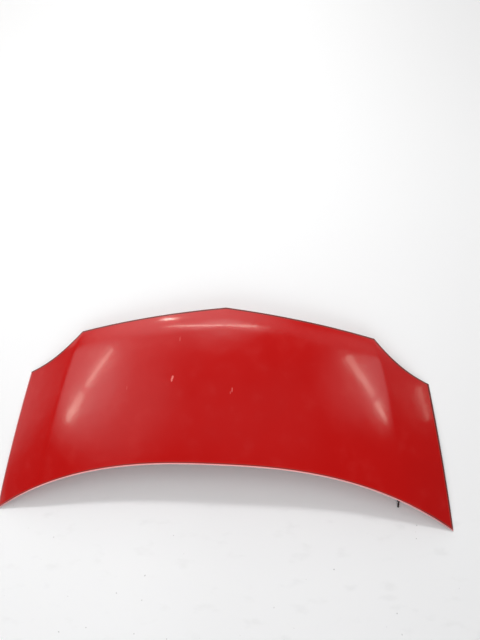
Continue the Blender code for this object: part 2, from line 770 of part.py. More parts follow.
class RibFloor:
    """Flat floor of the ribs and channels on one half, filled between its loops."""

    def __init__(self, channel):
        self.points = [vert.co.copy() for vert in channel]
        self.edges = [(k, k + 1) for k in range(len(channel) - 1)]
        self.boundary = [Vector(point.xy) for point in self.points]
        self.holes = []
        self.pads = []
        self.centre_pairs = []

    def add_loop(self, points, cut):
        start = len(self.points)
        count = len(points)
        self.points += points
        self.edges += [(start + k, start + (k + 1) % count) for k in range(count)]
        outline = [Vector(point.xy) for point in points]
        if cut:
            self.holes.append(outline)
        return outline

    def add_pad(self, frame, outline, cut=False):
        """Flat place, or a hole in one, given in its frame's own plane."""
        drawn = self.add_loop([frame @ point.to_3d() for point in outline], cut)
        if not cut:
            self.pads.append(drawn)

    def add_centre_pad(self, points):
        """Half of a pad across the middle of the panel, from its rear corner to its front one."""
        start = len(self.points)
        last = start + len(points) - 1
        self.points += points
        self.edges += [(k, k + 1) for k in range(start, last)]
        self.pads.append([Vector(point.xy) for point in points])
        self.centre_pairs.append((start, last))

    def fill_points(self):
        """Points on a square pattern, clear of the loops, so that the floor follows the crown."""
        outlines = [self.boundary] + self.holes + self.pads
        rim = [point for outline in outlines for point in outline]
        columns = int(HALF_WIDTH / FLOOR_SPACING)
        rows = int(LENGTH / FLOOR_SPACING)
        for column in range(1, columns + 1):
            for row in range(rows + 1):
                x = column * FLOOR_SPACING
                run = row * FLOOR_SPACING
                plan = Vector((x, run - MIDDLE_RUN))
                if not inside(*plan, self.boundary):
                    continue
                if any(inside(*plan, outline) for outline in self.holes + self.pads):
                    continue
                if min((plan - other).length for other in rim) < FLOOR_SPACING * FLOOR_CLEAR:
                    continue
                yield Vector((x, plan.y, rib_height(x, run)))

    def add_middle(self):
        """Edges along the middle of the panel, straight across its pads."""
        start = 0
        for first, last in self.centre_pairs:
            self.add_middle_run(start, first)
            self.edges.append((first, last))
            start = last
        self.add_middle_run(start, len(self.boundary) - 1)

    def add_middle_run(self, first, last):
        begin = self.points[first].y + MIDDLE_RUN
        end = self.points[last].y + MIDDLE_RUN
        count = max(1, round((end - begin) / FLOOR_SPACING))
        for k in range(1, count):
            run = begin + (end - begin) * k / count
            self.points.append(place((0, run), rib_height(0, run)))
            self.edges.append((first, len(self.points) - 1))
            first = len(self.points) - 1
        self.edges.append((first, last))

    def build(self, bm):
        self.add_middle()
        self.points += list(self.fill_points())
        plans = [Vector(point.xy) for point in self.points]
        found, _, faces, origins, _, _ = delaunay_2d_cdt(plans, self.edges, [], 0, 1e-7)
        verts = []
        for plan, sources in zip(found, origins):
            if sources:
                height = self.points[sources[0]].z
            else:
                height = rib_height(plan.x, plan.y + MIDDLE_RUN)
            verts.append(bm.verts.new((plan.x, plan.y, height)))
        for face in faces:
            middle = [sum(found[k][axis] for k in face) / len(face) for axis in (0, 1)]
            if inside(*middle, self.boundary) and not any(inside(*middle, hole) for hole in self.holes):
                bm.faces.new([verts[k] for k in face])
        loose = [vert for vert in verts if not vert.link_faces]
        bmesh.ops.delete(bm, geom=loose, context="VERTS")


# Hinge and latch fixings


def hinge_pieces(group, plate_material, nut_material):
    """Reinforcement plate and two weld nuts above each hinge pad."""
    holes = [hole_circle(centre, HINGE_HOLE) for centre in hinge_holes()]
    outlines = [pad_plate(HINGE_PAD)] + holes
    for side, sign in sides():
        seat = side_frame(hinge_frame(), sign) @ Matrix.Translation((0, 0, CLEARANCE))
        name = "hinge_reinforcement_" + side
        plate(name, outlines, HINGE_PLATE_THICKNESS, seat, group, plate_material)
        top = seat @ Matrix.Translation((0, 0, HINGE_PLATE_THICKNESS + CLEARANCE))
        for end, centre in zip(("front", "rear"), hinge_holes()):
            frame = top @ Matrix.Translation(centre.to_3d())
            name = "hinge_nut_%s_%s" % (side, end)
            nut(name, HINGE_NUT_ACROSS, HINGE_HOLE, HINGE_NUT_HEIGHT, frame, group, nut_material)


def pad_plate(pad):
    """Outline of a reinforcement plate, a little smaller than its pad."""
    return rectangle((pad[0] - 2 * PLATE_MARGIN, pad[1] - 2 * PLATE_MARGIN), PLATE_CORNER)


def nut(name, across, hole, height, frame, group, material):
    hexagon = circle((0, 0), across / math.sqrt(3), 6)
    return plate(name, [hexagon, hole_circle((0, 0), hole)], height, frame, group, material)


def latch_pieces(group, cutters, plate_material, zinc):
    """Plate and nuts above the latch pad; striker plate, loop and bolts below it."""
    pad = latch_frame()
    centres = [Vector((-STRIKER_BOLT_PITCH / 2, 0)), Vector((STRIKER_BOLT_PITCH / 2, 0))]
    holes = [hole_circle(centre, BOLT + 2 * BOLT_HOLE_ROOM) for centre in centres]
    above = pad @ Matrix.Translation((0, 0, CLEARANCE))
    outlines = [pad_plate(LATCH_PAD)] + holes
    plate("latch_reinforcement", outlines, LATCH_PLATE_THICKNESS, above, group, plate_material)

    under = pad @ Matrix.Translation((0, 0, -INNER_THICKNESS - CLEARANCE - STRIKER_THICKNESS))
    outlines = [rectangle(STRIKER_PLATE, STRIKER_CORNER)] + holes
    plate("striker_plate", outlines, STRIKER_THICKNESS, under, group, zinc)
    striker_loop(group, zinc, under @ Matrix.Translation((0, 0, -CLEARANCE)))

    nut_seat = LATCH_PLATE_THICKNESS + CLEARANCE
    bore = BOLT + 2 * CLEARANCE
    gripped = STRIKER_THICKNESS + INNER_THICKNESS + LATCH_PLATE_THICKNESS + 4 * CLEARANCE
    for side, centre in zip(("left", "right"), centres):
        frame = above @ Matrix.Translation((centre.x, 0, nut_seat))
        nut("latch_nut_" + side, LATCH_NUT_ACROSS, bore, LATCH_NUT_HEIGHT, frame, group, zinc)
        head = under @ Matrix.Translation((centre.x, 0, -CLEARANCE))
        length = gripped + LATCH_NUT_HEIGHT + BOLT_PAST_NUT
        bolt("striker_bolt_" + side, length, head, group, cutters, zinc)


def bolt(name, length, seat, group, cutters, material):
    """Flanged hex bolt with its head below the seat and its shank above it."""
    head_frame = seat @ Matrix.Translation((0, 0, -BOLT_HEAD_HEIGHT))
    hexagon = circle((0, 0), BOLT_HEAD_ACROSS / math.sqrt(3), 6)
    head = plate(name, [hexagon], BOLT_HEAD_HEIGHT - BOLT_FLANGE_HEIGHT / 2, head_frame, group, material)
    radius, flange = BOLT / 2, BOLT_FLANGE / 2
    profile = [
        (0, length), (radius - BOLT_CHAMFER, length), (radius, length - BOLT_CHAMFER), (radius, 0),
        (flange, 0), (flange, -BOLT_FLANGE_HEIGHT), (0, -BOLT_HEAD_HEIGHT / 2),
    ]
    shank = turned(name + "_shank", profile, 12, seat, cutters, None)
    union(head, shank)
    return head


def union(item, other):
    other.hide_render = True
    other.display_type = "WIRE"
    join = item.modifiers.new("join", "BOOLEAN")
    join.operation = "UNION"
    join.solver = "EXACT"
    join.object = other


def cut(item, cutter):
    cutter.hide_render = True
    cutter.display_type = "WIRE"
    hole = item.modifiers.new("hole", "BOOLEAN")
    hole.operation = "DIFFERENCE"
    hole.solver = "EXACT"
    hole.object = cutter


def striker_loop(group, material, frame):
    """Round rod bent into a U, with its legs up to the plate."""
    bend = STRIKER_SPAN / 2
    leg = STRIKER_REACH - bend - STRIKER_ROD / 2
    points = [Vector((-bend, 0, 0)), Vector((-bend, 0, -leg / 2))]
    steps = 10
    for k in range(steps + 1):
        angle = math.pi * k / steps
        points.append(Vector((-bend * math.cos(angle), 0, -leg - bend * math.sin(angle))))
    points += [Vector((bend, 0, -leg / 2)), Vector((bend, 0, 0))]
    tube("striker_loop", points, STRIKER_ROD, 2, frame, group, material)


def tube(name, points, diameter, resolution, frame, group, material):
    curve = bpy.data.curves.new(name, "CURVE")
    curve.dimensions = "3D"
    curve.bevel_depth = diameter / 2
    curve.bevel_resolution = resolution
    curve.use_fill_caps = True
    spline = curve.splines.new("POLY")
    spline.points.add(len(points) - 1)
    for target, point in zip(spline.points, points):
        target.co = (*point, 1)
    return curve_to_mesh(name, curve, frame, group, material)


# Rubber and plastic pieces


def collar_profile(hole, bore, flange, head):
    """Profile of a piece that snaps into a round hole; local Z=0 is the inner panel's upper face."""
    neck = hole / 2 - CLEARANCE
    lip = neck + COLLAR_LIP
    under = -INNER_THICKNESS - CLEARANCE
    outer = hole / 2 + flange
    bottom = under - head
    profile = [
        (neck - COLLAR_TAPER, COLLAR_TOP), (lip, COLLAR_LIP_TOP), (lip, CLEARANCE), (neck, CLEARANCE),
        (neck, under), (outer, under), (outer, (bottom + under) / 2), (outer - COLLAR_CHAMFER, bottom),
    ]
    if bore:
        return profile + [(bore / 2, bottom), (bore / 2, COLLAR_TOP)]
    return [(0, COLLAR_TOP)] + profile + [(0, bottom)]


def buffers(group, material):
    """Rubber stops that the closed panel rests on, pushed into the front channel."""
    frame, hole = round_seats()["buffer"]
    neck = hole / 2 - CLEARANCE
    under = -INNER_THICKNESS - CLEARANCE
    barb = neck + BUFFER_BARB
    profile = [
        (0, BUFFER_TIP), (neck - BUFFER_BARB, BUFFER_TIP), (barb, BUFFER_BARB_TOP), (barb, CLEARANCE),
        (neck, CLEARANCE), (neck, under),
    ]
    for radius_share, height_share in BUFFER_SHAPE:
        profile.append((BUFFER_DIAMETER / 2 * radius_share, under - BUFFER_HEIGHT * height_share))
    profile.append((0, under - BUFFER_HEIGHT))
    for side, sign in sides():
        turned("front_buffer_" + side, profile, 12, side_frame(frame, sign), group, material)


def plugs(group, material):
    """Rubber plugs in the drain holes of the rear channel."""
    frame, hole = round_seats()["plug"]
    for side, sign in sides():
        profile = collar_profile(hole, 0, PLUG_FLANGE, PLUG_HEAD)
        turned("drain_plug_" + side, profile, 10, side_frame(frame, sign), group, material)


def stay_socket(group, material):
    """Plastic bush that takes the end of the stay rod, left side."""
    frame, hole = round_seats()["stay"]
    bush = collar_profile(hole, STAY_BORE, COLLAR_FLANGE, STAY_HEAD)
    turned("stay_socket", bush, 10, side_frame(frame, -1), group, material)
    cap = collar_profile(hole, 0, COLLAR_FLANGE, PLUG_HEAD)
    turned("stay_hole_plug", cap, 10, frame, group, material)


def front_seal(group, cutters, material, clip_material):
    """Rubber strip with a bulb under the front channel, held by push clips."""
    bm = bmesh.new()
    rings = []
    under = -INNER_THICKNESS - CLEARANCE
    half = SEAL_WIDTH / 2
    bulb = SEAL_BULB / 2
    bulb_y = half + bulb * SEAL_BULB_OUT
    profile = [(-half, under), (half + bulb, under), (half + bulb, under - SEAL_BASE)]
    for k in range(1, 4):
        angle = math.pi * k / 4
        depth = SEAL_BASE + SEAL_BULB_DEPTH * math.sin(angle)
        profile.append((bulb_y + bulb * math.cos(angle), under - depth))
    profile += [(bulb_y - bulb, under - SEAL_BASE), (-half, under - SEAL_BASE)]
    right = seal_stations()
    for frame in [mirrored(frame) for frame in reversed(right[1:])] + right:
        rings.append([bm.verts.new(frame @ Vector((0, y, z))) for y, z in profile])
    for a, b in zip(rings, rings[1:]):
        loft(bm, a, b, closed=True)
    bm.faces.new(rings[0])
    bm.faces.new(rings[-1])
    bmesh.ops.recalc_face_normals(bm, faces=bm.faces)
    strip = add_object("front_seal", mesh_from(bm, "front_seal"), group, material)

    head = CLIP_HEAD / 2
    shank = CLIP_HOLE / 2 - CLEARANCE
    low = under - SEAL_BASE - CLEARANCE
    barb = shank + CLIP_BARB
    bottom = low - CLIP_HEAD_HEIGHT
    profile = [
        (0, CLIP_TIP), (shank / 2, CLIP_TIP), (barb, CLIP_BARB_TOP), (barb, CLEARANCE),
        (shank, CLEARANCE), (shank, low), (head, low), (head - CLIP_BARB, bottom), (0, bottom),
    ]
    for k in range(len(CLIP_SHARES)):
        frame = round_seats()["clip_%d" % (k + 1)][0]
        for side, sign in sides():
            name = "seal_clip_%s_%d" % (side, k + 1)
            seat = side_frame(frame, sign)
            turned(name, profile, 8, seat, group, clip_material)
            hole = CLIP_HOLE / 2
            drill = [(0, CLIP_TIP), (hole, CLIP_TIP), (hole, -CLIP_TIP), (0, -CLIP_TIP)]
            cut(strip, turned(name + "_hole", drill, 8, seat, cutters, None))


def mastic_pads(group, material):
    """Drops of mastic between the skin and the flanges round the openings."""
    thickness = MASTIC_GAP - 2 * CLEARANCE
    k = 0
    for name, (corners, radius) in opening_corners().items():
        if name == "slot":
            continue
        line = rounded(corners, radius, OPENING_FLANGE / 2)
        for a, b in zip(corners, corners[1:] + corners[:1]):
            k += 1
            middle = (a + b) / 2
            nearest = min(range(len(line)), key=lambda n: (line[n] - middle).length)
            heading = line[(nearest + 1) % len(line)] - line[nearest - 1]
            frame = surface_frame(line[nearest], opening_height)
            turn = Matrix.Rotation(math.atan2(heading.y, heading.x), 4, "Z")
            for side, sign in sides():
                seat = side_frame(frame @ turn @ Matrix.Translation((0, 0, CLEARANCE)), sign)
                outline = rounded_bar(MASTIC_PAD)
                plate("mastic_%s_%d" % (side, k), [outline], thickness, seat, group, material)


def hose_pieces(group, rubber, plastic):
    """Washer hose through a grommet in the rear channel, with a straight connector on its end."""
    frame, hole = round_seats()["grommet"]
    steps = 10
    bore = HOSE_DIAMETER / math.cos(math.pi / steps) + 2 * CLEARANCE
    grommet = collar_profile(hole, bore, COLLAR_FLANGE, GROMMET_HEAD)
    turned("hose_grommet", grommet, steps, frame, group, rubber)
    cap = collar_profile(hole, 0, COLLAR_FLANGE, PLUG_HEAD)
    turned("grommet_hole_plug", cap, steps, mirrored(frame), group, rubber)
    rest = CONNECTOR_DIAMETER / 2 + CLEARANCE
    start = frame.translation
    route = [
        Vector((start.x + across, start.y + along, rest + (start.z - rest) * share))
        for across, along, share in HOSE_ROUTE
    ]
    points = smooth_route(route, HOSE_POINT_SPACING)
    tube("washer_hose", points, HOSE_DIAMETER, 2, Matrix(), group, rubber)

    end = points[-1]
    heading = points[-1] - points[-2]
    heading.z = 0
    heading.normalize()
    turn = heading.to_track_quat("Z", "Y").to_matrix().to_4x4()
    seat = Matrix.Translation(end + heading * 2 * CLEARANCE) @ turn
    radius, bore = CONNECTOR_DIAMETER / 2, CONNECTOR_BORE / 2
    profile = [(bore, CONNECTOR_LENGTH)]
    profile += [(radius * across, CONNECTOR_LENGTH * along) for across, along in CONNECTOR_SHAPE]
    profile.append((bore, 0))
    turned("hose_connector", profile, 8, seat, group, plastic)


def smooth_route(points, spacing):
    """Evenly spaced points read from a smooth curve through the route's own points."""
    fine = []
    steps = 16
    for k in range(len(points) - 1):
        a, b = points[k], points[k + 1]
        start_pull = (b - points[max(k - 1, 0)]) / 2
        end_pull = (points[min(k + 2, len(points) - 1)] - a) / 2
        for t in (s / steps for s in range(steps)):
            fine.append(
                a * (2 * t**3 - 3 * t**2 + 1) + start_pull * (t**3 - 2 * t**2 + t)
                + b * (3 * t**2 - 2 * t**3) + end_pull * (t**3 - t**2)
            )
    fine.append(points[-1])
    travelled = [0.0]
    for a, b in zip(fine, fine[1:]):
        travelled.append(travelled[-1] + (b - a).length)
    count = round(travelled[-1] / spacing)
    wanted = [travelled[-1] * k / count for k in range(count + 1)]
    return [fine[min(range(len(fine)), key=lambda n: abs(travelled[n] - w))] for w in wanted]


def main():
    clear_scene()
    parts = new_collection("car_bonnet")
    cutters = new_collection("cutters")
    red = new_material("red_paint", (0.55, 0.012, 0.010), 0.22)
    inner_red = new_material("inner_red_paint", (0.42, 0.012, 0.010), 0.45)
    zinc = new_material("zinc_plate", (0.62, 0.62, 0.58), 0.38, 1.0)
    rubber = new_material("black_rubber", (0.02, 0.02, 0.02), 0.75)
    plastic = new_material("black_plastic", (0.03, 0.03, 0.03), 0.45)
    mastic = new_material("grey_mastic", (0.12, 0.12, 0.12), 0.85)

    outer_skin(parts, red)
    inner_panel(parts, inner_red)
    hinge_pieces(parts, inner_red, zinc)
    latch_pieces(parts, cutters, inner_red, zinc)
    buffers(parts, rubber)
    plugs(parts, rubber)
    stay_socket(parts, plastic)
    front_seal(parts, cutters, rubber, plastic)
    mastic_pads(parts, mastic)
    hose_pieces(parts, rubber, plastic)


main()
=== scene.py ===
"""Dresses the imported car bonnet: painted skin, finishes for every piece, pale floor, lamps and camera."""
import json
import math

import bpy
from bpy.props import FloatProperty, FloatVectorProperty, IntProperty, PointerProperty
from bpy.types import Operator, Panel, PropertyGroup
from mathutils import Matrix, Vector
from mathutils.kdtree import KDTree

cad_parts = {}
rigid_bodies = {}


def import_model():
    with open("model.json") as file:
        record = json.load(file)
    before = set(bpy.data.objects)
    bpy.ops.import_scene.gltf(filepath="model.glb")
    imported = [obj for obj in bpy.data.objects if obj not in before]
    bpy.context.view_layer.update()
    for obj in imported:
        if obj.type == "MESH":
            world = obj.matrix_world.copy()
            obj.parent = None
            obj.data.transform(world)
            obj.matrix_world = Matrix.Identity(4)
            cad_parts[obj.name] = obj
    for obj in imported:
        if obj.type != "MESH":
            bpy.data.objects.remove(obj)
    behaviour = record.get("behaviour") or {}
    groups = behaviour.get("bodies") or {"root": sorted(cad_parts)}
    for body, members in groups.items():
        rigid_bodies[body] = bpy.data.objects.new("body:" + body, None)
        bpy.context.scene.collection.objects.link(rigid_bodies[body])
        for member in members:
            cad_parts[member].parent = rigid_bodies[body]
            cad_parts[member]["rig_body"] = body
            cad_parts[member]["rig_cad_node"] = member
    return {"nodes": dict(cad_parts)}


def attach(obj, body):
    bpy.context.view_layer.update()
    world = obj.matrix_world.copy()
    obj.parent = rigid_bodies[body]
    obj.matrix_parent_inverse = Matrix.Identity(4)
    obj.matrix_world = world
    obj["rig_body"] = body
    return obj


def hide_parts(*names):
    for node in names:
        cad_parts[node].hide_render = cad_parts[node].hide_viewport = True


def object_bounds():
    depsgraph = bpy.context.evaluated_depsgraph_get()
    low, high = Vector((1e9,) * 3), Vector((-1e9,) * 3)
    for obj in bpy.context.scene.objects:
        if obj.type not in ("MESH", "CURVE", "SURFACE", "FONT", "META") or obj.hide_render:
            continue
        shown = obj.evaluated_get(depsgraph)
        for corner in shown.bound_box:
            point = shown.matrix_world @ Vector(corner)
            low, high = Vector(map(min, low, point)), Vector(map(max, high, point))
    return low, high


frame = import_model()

bl_info = {
    "name": "Car bonnet",
    "version": (1, 0, 0),
    "blender": (4, 5, 0),
    "location": "3D View > Sidebar > Bonnet",
    "description": "Paints and finishes a car bonnet and sets it on a pale floor",
    "category": "Object",
}

CAD_BOX = [list(corner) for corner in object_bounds()]

# Columns and rows of the pressed surface on one half, as the solids have them
INNER_COLUMNS = 10
OUTER_COLUMNS = 5
COLUMNS = INNER_COLUMNS + OUTER_COLUMNS
ROWS = 12
COLUMN_CROWDING = 1.25
ROW_CROWDING = 1.3

# Distances within which points of a mesh are one, inside a piece and at the mirror's seam
WELD_GAP = 0.00001
SEAM_GAP = 0.00002

# Angles in degrees below which a face bends smoothly into the next
PRESSED_ANGLE = 28
SKIN_ANGLE = 35
MOULDED_ANGLE = 40
TURNED_ANGLE = 50

# Distances from the edge of the strips between the flange and the fold of the hem
HEM_APPROACH = (0.010, 0.005, 0.002)

# X over which the painted reflection on the rim of the sides comes in, as only the left one has it
REFLECTION_SIDE = (0.0, -0.1)

# Distances from the edge at which each mark begins and is full: dust at the hem, a painted shade line along
# the edges, the end of that shade where the rim has its painted reflection, and that painted reflection
GRIME = (0.012, 0.002)
PAINTED_EDGE_SHADE = (0.0062, 0.0040)
EDGE_SHADE_END_AT_REFLECTION = (0.0040, 0.0028)
PAINTED_REFLECTION_RIM = (0.0028, 0.0014)

# Depths of the finishes' grain
PAINT_GRAIN = 0.00025
INNER_GRAIN = 0.00012
RUBBER_GRAIN = 0.00008
ZINC_GRAIN = 0.00005

# Places on the floor, in X or Y, at which the scuffs, the painted light near by on the left and the painted
# shade far off and to the right begin and are full
SCUFFED = (-0.24, -0.34)
BRIGHTER_NEAR = (-0.15, -0.50)
BRIGHTER_LEFT = (0.10, -0.30)
GREY_FAR = (0.7, 1.7)
GREY_FAR_LEFT = (0.0, -1.0)
GREY_RIGHT = (0.1, 1.0)

# Share of each part of the zinc's colour that is left where it is duller and yellower
DULL_ZINC = (0.82, 0.7544, 0.5904)

# Points (x, run, height) along the hose from the grommet to the floor, and how finely it is made
HOSE_ROUTE = [
    (0.5463, 0.1358, 0.0547), (0.5449, 0.1358, 0.0498), (0.5436, 0.1355, 0.0450),
    (0.5437, 0.1340, 0.0380), (0.5456, 0.1307, 0.0303), (0.5492, 0.1258, 0.0228),
    (0.5538, 0.1193, 0.0156), (0.5580, 0.1112, 0.0098), (0.5604, 0.1018, 0.0058),
    (0.5603, 0.0916, 0.0050), (0.5591, 0.0846, 0.0050),
]
HOSE_SPACING = 0.0031
HOSE_ROUNDING = 5

# Strokes of the paint chips: x, run, half width, half length, turn and strength
CHIPS = [
    (-0.1540, 0.4295, 0.0034, 0.0060, -0.7, 0.75), (-0.1560, 0.4215, 0.0032, 0.0065, 0.6, 0.75),
    (0.0350, 0.3960, 0.0019, 0.0085, 0.5, 0.45), (0.0300, 0.3870, 0.0019, 0.0050, -0.9, 0.30),
    (-0.1417, 0.5547, 0.0022, 0.0085, 0.1, 0.22), (-0.2990, 0.3920, 0.0020, 0.0070, 0.4, 0.14),
]

# Lamps: start, end, width and brightness; all but the unseen ones show as streaks on the paint
LAMPS = [
    ("front_tube_left", (-1.30, 2.52, 2.21), (-0.34, 2.24, 2.72), 0.04, 21.0),
    ("front_tube_right", (-0.34, 2.24, 2.72), (0.36, 2.54, 2.46), 0.04, 21.0),
    ("front_spot", (-1.38, 2.98, 1.545), (-1.30, 3.005, 1.565), 0.05, 230.0),
    ("left_tube_front", (-2.22, 1.47, 2.49), (-2.62, 0.81, 2.36), 0.05, 15.0),
    ("left_tube_rear", (-2.69, 0.70, 2.34), (-2.96, 0.25, 2.25), 0.14, 7.5),
    ("right_tube_front", (1.88, 1.55, 2.70), (2.40, 0.86, 2.58), 0.13, 5.5),
    ("right_tube_rear", (2.47, 0.76, 2.56), (2.69, 0.47, 2.51), 0.09, 11.0),
    ("right_low_tube", (3.46, 1.05, 1.43), (3.57, 0.55, 1.40), 0.05, 5.5),
    ("top_panel", (-1.30, 0.60, 3.20), (1.30, 0.60, 3.20), 1.60, 1.3),
    ("rear_panel", (-1.60, -2.30, 2.70), (1.60, -2.30, 2.70), 2.00, 0.7),
    ("key", (-0.87, 2.29, 2.73), (-0.61, 2.29, 2.73), 0.26, 205.0),
]
UNSEEN_LAMPS = ("top_panel", "rear_panel", "key")
WARM = (1.0, 0.93, 0.78)
LAMP_TARGET = Vector((0, 0, 0.08))

# Sine of the elevation at which the light from the horizon begins and is full
HORIZON_BAND = (0.23, 0.12)

# Soft glows of the room: azimuth from +Y to +X, elevation, reach (degrees) and strength
GLOWS = [
    (-68, 41, 19, 1.05), (-68, 55, 20, 0.50), (-80, 5, 18, 0.9), (-20, 30, 36, 1.3), (-8, 50, 13, 1.25),
    (64, 44, 13, 0.95), (58, 55, 13, 0.4), (52, 10, 36, 0.30), (180, 20, 50, 1.1), (35, 40, 20, 0.36),
]


# What a user can change


def size(name, text, default):
    return FloatProperty(name=name, description=text, default=default, unit="LENGTH", precision=4)


def number(name, text, default):
    return FloatProperty(name=name, description=text, default=default, precision=3)


def colour(name, text, default):
    return FloatVectorProperty(
        name=name, description=text, default=default, subtype="COLOR", size=3, min=0, max=1,
    )


def whole(name, text, default, least, most):
    return IntProperty(name=name, description=text, default=default, min=least, max=most)


def heading(name, text, default):
    return FloatProperty(name=name, description=text, default=default, subtype="ANGLE")


class BonnetForm(PropertyGroup):
    """Sizes of the pressed skin; run is the distance forward of the rear corners."""

    rear_width: size("Rear width", "Width between the rear corners", 1.440)
    length: size("Length", "Run from the rear corners to the front point", 0.670)
    middle_run: size("Middle", "Run of the middle of the whole panel", 0.3342)
    rear_bow: size("Rear bow", "How far forward the rear edge is in the middle", 0.173)
    rear_bow_power: number("Rear bow power", "How square the bow of the rear edge is", 2.56)
    lamp_outer_x: size("Lamp outer X", "Distance of the outer lamp corner from the middle", 0.668)
    lamp_outer_run: size("Lamp outer run", "Run of the outer lamp corner", 0.444)
    lamp_inner_x: size("Lamp inner X", "Distance of the inner lamp corner from the middle", 0.490)
    lamp_inner_run: size("Lamp inner run", "Run of the inner lamp corner", 0.583)
    lamp_hollow: size("Lamp hollow", "Depth of the hollow edge over the lamp", 0.017)
    front_bow: size("Front bow", "Bulge of each half of the front edge", 0.007)
    crown_rise: size("Crown", "Fall of the crown from the middle to the side", 0.125)
    crown_squareness: number("Crown squareness", "Share of the crown that falls near the sides", 0.35)
    arch_radius: size("Arch radius", "Radius of the form from rear to front", 2.6)
    arch_top_run: size("Arch top", "Run of the highest point of that arch", 0.27)
    nose_band: size("Nose band", "Width of the band that turns down at the front", 0.075)
    nose_drop: size("Nose drop", "How far the front edge turns down", 0.012)
    crease_rear_x: size("Crease rear X", "Distance of the crease from the middle at its rear end", 0.575)
    crease_slope: number("Crease slope", "Slope that the surface takes outside the crease", 0.20)
    crease_fade: number("Crease fade", "Share of that slope at the rear end", 0.35)
    crease_softness: size("Crease softness", "Rounding of the crease", 0.008)
    shoulder_width: size("Shoulder width", "Width over which the shoulder levels out", 0.165)
    wall: size("Wall", "Thickness of the skin", 0.0008)
    hem_height: size("Hem height", "Height of the folded edge", 0.0029)
    hem_leg: size("Hem leg", "Width of the strip folded under", 0.012)
    flange_end: size("Flange end", "Distance of the inner panel's first bend from the edge", 0.015)
    fineness: whole("Fineness", "Strips to each column and row", 5, 1, 8)
    fold_steps: whole("Fold steps", "Strips round the folded edge", 6, 2, 12)
    hose_diameter: size("Hose diameter", "Outside diameter of the washer hose", 0.0065)
    hose_length: size("Hose length", "Length of the washer hose", 0.085)


class BonnetPaint(PropertyGroup):
    """Colours and wear of the finishes."""

    red: colour("Red", "Colour of the outer paint", (0.507, 0.0035, 0.0026))
    inner_red: colour("Inner red", "Colour of the thinner paint on the hidden side", (0.40, 0.014, 0.011))
    primer: colour("Chip", "Colour of the bare spots", (0.86, 0.20, 0.18))
    # rim is the colour of a painted reflection of the bright floor along the rear and left edges
    rim: colour("Rim", "Colour of the worn rear and left edges", (0.92, 0.46, 0.46))
    dust: colour("Dust", "Colour of settled dust", (0.34, 0.25, 0.20))
    zinc: colour("Zinc", "Colour of the plated pieces", (0.60, 0.59, 0.53))
    rust: colour("Rust", "Colour of the stains on the plated pieces", (0.20, 0.11, 0.06))
    rubber: colour("Rubber", "Colour of the rubber pieces", (0.022, 0.022, 0.021))
    plastic: colour("Plastic", "Colour of the plastic pieces", (0.030, 0.030, 0.031))
    mastic: colour("Mastic", "Colour of the mastic drops", (0.13, 0.13, 0.12))
    roughness: number("Roughness", "Roughness of the paint under its gloss", 0.16)
    gloss: number("Gloss", "Strength of the clear gloss where the paint is whole", 0.35)
    gloss_roughness: number("Gloss roughness", "Roughness of that gloss", 0.07)
    fading: number("Fading", "How far the paint's shade varies from patch to patch", 0.10)
    chipping: number("Chipping", "How far the gloss is gone in the chips", 0.3)


class BonnetStage(PropertyGroup):
    """Floor, lamps and the camera's place, found from the photograph."""

    floor: colour("Floor", "Colour of the floor", (0.98, 0.985, 1.0))
    floor_size: size("Floor size", "Side of the floor", 40.0)
    floor_gap: size("Floor gap", "Distance from the floor up to the lowest corners", 0.0004)
    horizon: number("Horizon", "Strength of the light from low all round", 0.85)
    zenith: number("Zenith", "Strength of the light from straight above", 0.07)
    camera: FloatVectorProperty(
        name="Camera", description="Place of the camera over the panel",
        default=(0.144623, -0.055079, 1.59429), subtype="TRANSLATION", unit="LENGTH", size=3,
    )
    yaw: heading("Yaw", "Heading of the camera from +Y", -0.269423)
    pitch: heading("Pitch", "How far the camera looks down", 1.336931)
    roll: heading("Roll", "Turn of the picture", 0.239041)
    lens: FloatProperty(name="Lens", description="Focal length in millimetres", default=26.718, unit="CAMERA")


# Form of the panel


def soft_ramp(value, softness):
    """Zero below 0 and value above it, with a rounded corner."""
    return (value + math.hypot(value, softness)) / 2


